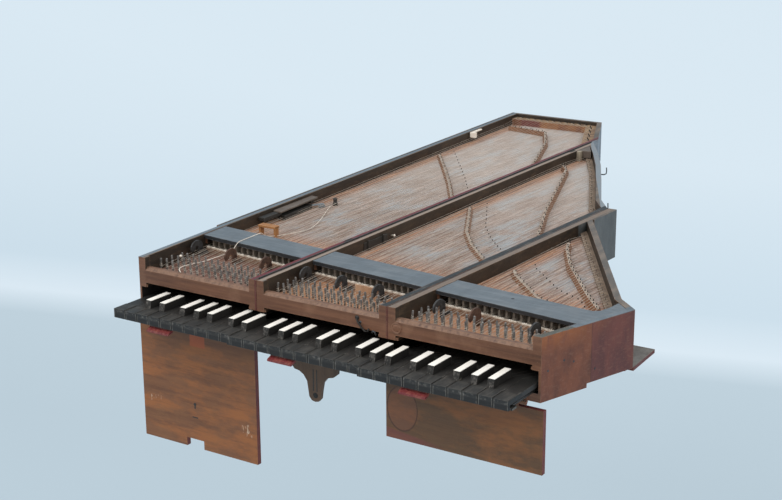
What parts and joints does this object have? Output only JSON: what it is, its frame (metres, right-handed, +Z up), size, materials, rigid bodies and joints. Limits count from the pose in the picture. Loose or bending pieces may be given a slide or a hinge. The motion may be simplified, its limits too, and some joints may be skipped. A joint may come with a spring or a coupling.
{
  "type": "folding harpsichord",
  "caption": "Travelling harpsichord in hinged sections that fold and swing together, with sliding keyboards, moving keys and jacks, stop levers, and flaps below the key well.",
  "frame": {"origin": "on the flat bottom of the bass section's front part", "axes": "+X to the treble, +Y to the tail, +Z up"},
  "size_m": [0.8152, 1.401, 0.2926],
  "materials": {
    "case": "worn red-brown paint",
    "board": "bare spruce, dusty",
    "inner": "bare wood",
    "paint": "grey-blue paint",
    "key": "black stained wood",
    "jack": "bare pear wood",
    "iron": "forged",
    "wire": "thin wire",
    "flap": "warm brown"
  },
  "bodies": {
    "bass": {"bass_case": "case", "bass_soundboard": "board", "bass_long_bridge": "inner", "bass_octave_bridge": "inner", "bass_wrestplank": "inner", "bass_strings": "wire", "bass_register": "jack", "bass_jack_rail": "paint", "fold_rod": "iron"},
    "middle": {"middle_case": "case", "middle_soundboard": "board", "middle_long_bridge": "inner", "middle_octave_bridge": "inner", "middle_wrestplank": "inner", "middle_strings": "wire", "middle_register": "jack", "middle_jack_rail": "paint", "swing_pin": "iron"},
    "treble": {"treble_case": "case", "treble_soundboard": "board", "treble_long_bridge": "inner", "treble_octave_bridge": "inner", "treble_wrestplank": "inner", "treble_strings": "wire", "treble_register": "jack", "treble_jack_rail": "paint"},
    "bass_keys": {"bass_keyboard": "key"},
    "bass_lever_1": {"bass_stop_lever_1": "iron"},
    "bass_lever_2": {"bass_stop_lever_2": "iron"},
    "bass_lever_3": {"bass_stop_lever_3": "iron"},
    "middle_keys": {"middle_keyboard": "key"},
    "middle_lever_1": {"middle_stop_lever_1": "iron"},
    "middle_lever_2": {"middle_stop_lever_2": "iron"},
    "middle_lever_3": {"middle_stop_lever_3": "iron"},
    "treble_keys": {"treble_keyboard": "key"},
    "treble_lever_1": {"treble_stop_lever_1": "iron"},
    "treble_lever_2": {"treble_stop_lever_2": "iron"},
    "treble_lever_3": {"treble_stop_lever_3": "iron"},
    "bass_flap_body": {"bass_flap": "flap"},
    "treble_flap_body": {"treble_flap": "flap"},
    "tongue_body": {"tongue": "flap"},
    "key_c": {"key_c_3": "key"},
    "jack_c": {"jack_c_3": "jack"},
    "key_c_sharp": {"key_c_sharp_3": "key"},
    "jack_c_sharp": {"jack_c_sharp_3": "jack"},
    "key_d": {"key_d_3": "key"},
    "jack_d": {"jack_d_3": "jack"},
    "key_d_sharp": {"key_d_sharp_3": "key"},
    "jack_d_sharp": {"jack_d_sharp_3": "jack"},
    "key_e": {"key_e_3": "key"},
    "jack_e": {"jack_e_3": "jack"},
    "key_f": {"key_f_3": "key"},
    "jack_f": {"jack_f_3": "jack"},
    "key_f_sharp": {"key_f_sharp_3": "key"},
    "jack_f_sharp": {"jack_f_sharp_3": "jack"},
    "key_g": {"key_g_3": "key"},
    "jack_g": {"jack_g_3": "jack"}
  },
  "joints": [
    {"name": "fold", "type": "hinge", "parent": "bass", "child": "middle", "pos_m": [0.12, -0.041, 0.0914], "axis": [0, -1, 0], "range_deg": [0, 180]},
    {"name": "treble_swing", "type": "hinge", "parent": "middle", "child": "treble", "pos_m": [0.38138, 0.614, 0.046], "axis": [0, 0, 1], "range_deg": [0, 180]},
    {"name": "bass_keyboard_slide", "type": "slide", "parent": "bass", "child": "bass_keys", "axis": [0, 1, 0], "range_m": [0, 0.059]},
    {"name": "bass_lever_1_turn", "type": "hinge", "parent": "bass", "child": "bass_lever_1", "pos_m": [-0.0942, 0.1021, 0.064], "axis": [0, 0, 1], "range_deg": [-1.4, 1.4]},
    {"name": "bass_lever_2_turn", "type": "hinge", "parent": "bass", "child": "bass_lever_2", "pos_m": [-0.01823, 0.09393, 0.064], "axis": [0, 0, 1], "range_deg": [-1.4, 1.4]},
    {"name": "bass_lever_3_turn", "type": "hinge", "parent": "bass", "child": "bass_lever_3", "pos_m": [0.05746, 0.08576, 0.064], "axis": [0, 0, 1], "range_deg": [-1.4, 1.4]},
    {"name": "middle_keyboard_slide", "type": "slide", "parent": "middle", "child": "middle_keys", "axis": [0, 1, 0], "range_m": [0, 0.06]},
    {"name": "middle_lever_1_turn", "type": "hinge", "parent": "middle", "child": "middle_lever_1", "pos_m": [0.14051, 0.07678, 0.064], "axis": [0, 0, 1], "range_deg": [-1.4, 1.4]},
    {"name": "middle_lever_2_turn", "type": "hinge", "parent": "middle", "child": "middle_lever_2", "pos_m": [0.21109, 0.06912, 0.064], "axis": [0, 0, 1], "range_deg": [-1.4, 1.4]},
    {"name": "middle_lever_3_turn", "type": "hinge", "parent": "middle", "child": "middle_lever_3", "pos_m": [0.28142, 0.06145, 0.064], "axis": [0, 0, 1], "range_deg": [-1.4, 1.4]},
    {"name": "treble_keyboard_slide", "type": "slide", "parent": "treble", "child": "treble_keys", "axis": [0, 1, 0], "range_m": [0, 0.068]},
    {"name": "treble_lever_1_turn", "type": "hinge", "parent": "treble", "child": "treble_lever_1", "pos_m": [0.39223, 0.04938, 0.064], "axis": [0, 0, 1], "range_deg": [-1.4, 1.4]},
    {"name": "treble_lever_2_turn", "type": "hinge", "parent": "treble", "child": "treble_lever_2", "pos_m": [0.45383, 0.04269, 0.064], "axis": [0, 0, 1], "range_deg": [-1.4, 1.4]},
    {"name": "treble_lever_3_turn", "type": "hinge", "parent": "treble", "child": "treble_lever_3", "pos_m": [0.55238, 0.032, 0.064], "axis": [0, 0, 1], "range_deg": [-1.4, 1.4]},
    {"name": "bass_flap_turn", "type": "hinge", "parent": "bass", "child": "bass_flap_body", "pos_m": [0.005, -0.044, -0.003], "axis": [-1, 0, 0], "range_deg": [0, 90]},
    {"name": "treble_flap_turn", "type": "hinge", "parent": "treble", "child": "treble_flap_body", "pos_m": [0.47, -0.044, -0.003], "axis": [-1, 0, 0], "range_deg": [0, 90]},
    {"name": "tongue_turn", "type": "hinge", "parent": "middle", "child": "tongue_body", "pos_m": [0.225, -0.044, -0.003], "axis": [-1, 0, 0], "range_deg": [0, 90]},
    {"name": "key_c_press", "type": "hinge", "parent": "middle_keys", "child": "key_c", "pos_m": [0.24363, -0.015, 0.0206], "axis": [1, 0, 0], "range_deg": [0, 3], "stiffness_Nm_per_rad": 0.05, "springref_deg": -5.73},
    {"name": "jack_c_rise", "type": "slide", "parent": "middle", "child": "jack_c", "axis": [0, 0, 1], "range_m": [0, 0.00603]},
    {"name": "key_c_sharp_press", "type": "hinge", "parent": "middle_keys", "child": "key_c_sharp", "pos_m": [0.25511, -0.015, 0.0206], "axis": [1, 0, 0], "range_deg": [0, 3], "stiffness_Nm_per_rad": 0.05, "springref_deg": -5.73},
    {"name": "jack_c_sharp_rise", "type": "slide", "parent": "middle", "child": "jack_c_sharp", "axis": [0, 0, 1], "range_m": [0, 0.00596]},
    {"name": "key_d_press", "type": "hinge", "parent": "middle_keys", "child": "key_d", "pos_m": [0.26658, -0.015, 0.0206], "axis": [1, 0, 0], "range_deg": [0, 3], "stiffness_Nm_per_rad": 0.05, "springref_deg": -5.73},
    {"name": "jack_d_rise", "type": "slide", "parent": "middle", "child": "jack_d", "axis": [0, 0, 1], "range_m": [0, 0.0059]},
    {"name": "key_d_sharp_press", "type": "hinge", "parent": "middle_keys", "child": "key_d_sharp", "pos_m": [0.27805, -0.015, 0.0206], "axis": [1, 0, 0], "range_deg": [0, 3], "stiffness_Nm_per_rad": 0.05, "springref_deg": -5.73},
    {"name": "jack_d_sharp_rise", "type": "slide", "parent": "middle", "child": "jack_d_sharp", "axis": [0, 0, 1], "range_m": [0, 0.00583]},
    {"name": "key_e_press", "type": "hinge", "parent": "middle_keys", "child": "key_e", "pos_m": [0.28952, -0.015, 0.0206], "axis": [1, 0, 0], "range_deg": [0, 3], "stiffness_Nm_per_rad": 0.05, "springref_deg": -5.73},
    {"name": "jack_e_rise", "type": "slide", "parent": "middle", "child": "jack_e", "axis": [0, 0, 1], "range_m": [0, 0.00577]},
    {"name": "key_f_press", "type": "hinge", "parent": "middle_keys", "child": "key_f", "pos_m": [0.30099, -0.015, 0.0206], "axis": [1, 0, 0], "range_deg": [0, 3], "stiffness_Nm_per_rad": 0.05, "springref_deg": -5.73},
    {"name": "jack_f_rise", "type": "slide", "parent": "middle", "child": "jack_f", "axis": [0, 0, 1], "range_m": [0, 0.0057]},
    {"name": "key_f_sharp_press", "type": "hinge", "parent": "middle_keys", "child": "key_f_sharp", "pos_m": [0.31246, -0.015, 0.0206], "axis": [1, 0, 0], "range_deg": [0, 3], "stiffness_Nm_per_rad": 0.05, "springref_deg": -5.73},
    {"name": "jack_f_sharp_rise", "type": "slide", "parent": "middle", "child": "jack_f_sharp", "axis": [0, 0, 1], "range_m": [0, 0.00563]},
    {"name": "key_g_press", "type": "hinge", "parent": "middle_keys", "child": "key_g", "pos_m": [0.32393, -0.015, 0.0206], "axis": [1, 0, 0], "range_deg": [0, 3], "stiffness_Nm_per_rad": 0.05, "springref_deg": -5.73},
    {"name": "jack_g_rise", "type": "slide", "parent": "middle", "child": "jack_g", "axis": [0, 0, 1], "range_m": [0, 0.00556]}
  ],
  "couplings": [
    {"joint": "jack_c_rise", "follows": "key_c_press", "m_per_rad": 0.1133},
    {"joint": "jack_c_sharp_rise", "follows": "key_c_sharp_press", "m_per_rad": 0.112},
    {"joint": "jack_d_rise", "follows": "key_d_press", "m_per_rad": 0.1107},
    {"joint": "jack_d_sharp_rise", "follows": "key_d_sharp_press", "m_per_rad": 0.1095},
    {"joint": "jack_e_rise", "follows": "key_e_press", "m_per_rad": 0.1082},
    {"joint": "jack_f_rise", "follows": "key_f_press", "m_per_rad": 0.1069},
    {"joint": "jack_f_sharp_rise", "follows": "key_f_sharp_press", "m_per_rad": 0.1056},
    {"joint": "jack_g_rise", "follows": "key_g_press", "m_per_rad": 0.1043}
  ]
}
